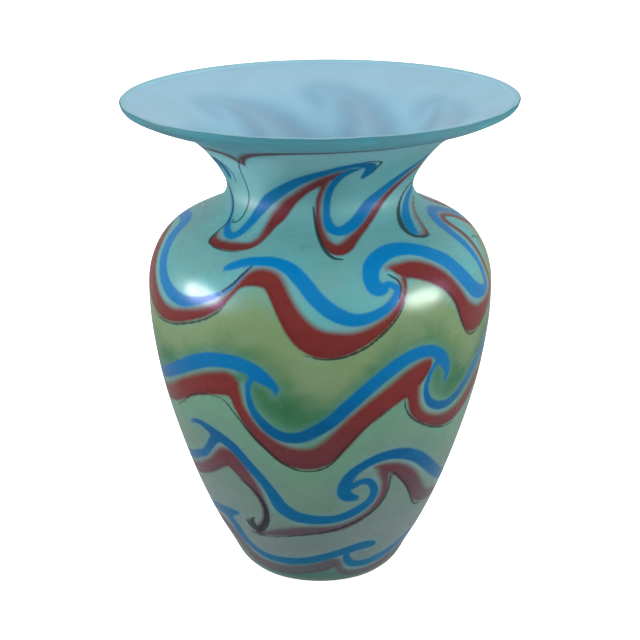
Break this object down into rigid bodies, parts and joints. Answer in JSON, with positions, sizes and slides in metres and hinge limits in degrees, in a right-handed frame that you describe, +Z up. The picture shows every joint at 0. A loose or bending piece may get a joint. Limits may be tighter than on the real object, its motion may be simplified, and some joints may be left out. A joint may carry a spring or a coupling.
{
  "type": "flared glass vase",
  "caption": "Hand-blown vase with a rounded belly, narrow neck and wide flared mouth, cased in opal glass and wound with waved coloured threads.",
  "frame": {"origin": "centre of the flat ground base, at the height the vase stands on", "axes": "+Z up along the vase's axis, -Y towards the viewer's side, +X to that viewer's right"},
  "size_m": [0.2018, 0.2018, 0.2542],
  "materials": {
    "celadon_glass": "opaque cased glass, satin gloss",
    "opal_glass": "opaque pale blue opal glass, satin",
    "blue_glass": "opaque blue glass, gloss",
    "red_glass": "opaque brick red glass, gloss"
  },
  "bodies": {
    "root": {"celadon_body": "celadon_glass", "opal_lining": "opal_glass", "blue_trail_neck": "blue_glass", "blue_trail_shoulder": "blue_glass", "blue_trail_upper": "blue_glass", "blue_trail_lower": "blue_glass", "blue_trail_foot": "blue_glass", "red_trail_rim": "red_glass", "red_trail_neck": "red_glass", "red_trail_shoulder": "red_glass", "red_trail_upper": "red_glass", "red_trail_lower": "red_glass", "red_trail_foot": "red_glass"}
  },
  "joints": []
}
